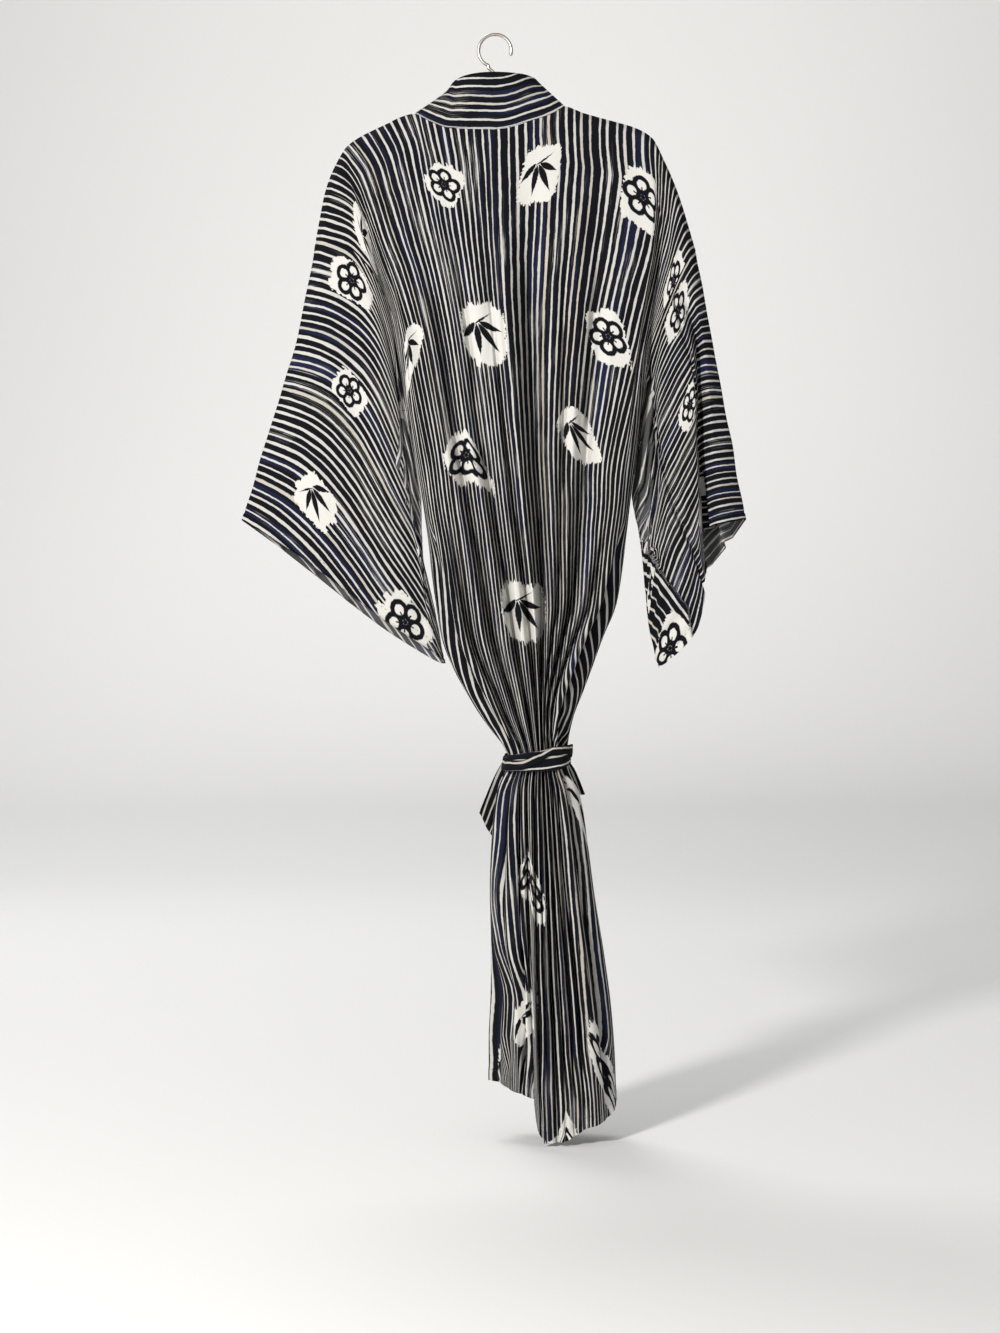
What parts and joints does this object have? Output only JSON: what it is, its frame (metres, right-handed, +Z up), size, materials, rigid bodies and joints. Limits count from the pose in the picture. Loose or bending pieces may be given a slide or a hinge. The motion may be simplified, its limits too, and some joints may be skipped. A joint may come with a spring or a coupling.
{
  "type": "yukata robe hung on a wooden hanger",
  "caption": "Cotton yukata robe with lengthwise stripes, tied low with its own sash and hung on a shaped wooden hanger, with wide hanging sleeves and a standing collar.",
  "frame": {"origin": "highest point of the inside of the hook's bend, where it hangs on a rail", "axes": "+Z up, +Y towards the robe's front, -Y towards its back, +X towards the wearer's right"},
  "size_m": [0.631, 0.1308, 1.376],
  "materials": {
    "robe_cotton": "matte plain-weave cotton, navy and off-white lengthwise brush stripes",
    "collar_cotton": "matte doubled cotton band, stripes lengthwise",
    "sash_cotton": "matte doubled cotton band, stripes lengthwise",
    "hanger_wood": "pale beech, satin lacquer",
    "hook_steel": "satin zinc-plated wire"
  },
  "bodies": {
    "root": {"back_left": "robe_cotton", "back_right": "robe_cotton", "front_left": "robe_cotton", "front_right": "robe_cotton", "overlap_left": "robe_cotton", "overlap_right": "robe_cotton", "sleeve_left": "robe_cotton", "sleeve_right": "robe_cotton", "collar_back": "collar_cotton", "collar_left": "collar_cotton", "collar_right": "collar_cotton", "sash_inner_lap": "sash_cotton", "sash_outer_lap": "sash_cotton", "sash_knot": "sash_cotton", "sash_ear_left": "sash_cotton", "sash_ear_right": "sash_cotton", "sash_tail_left": "sash_cotton", "sash_tail_right": "sash_cotton", "hanger": "hanger_wood", "hanger_hook": "hook_steel"}
  },
  "joints": []
}
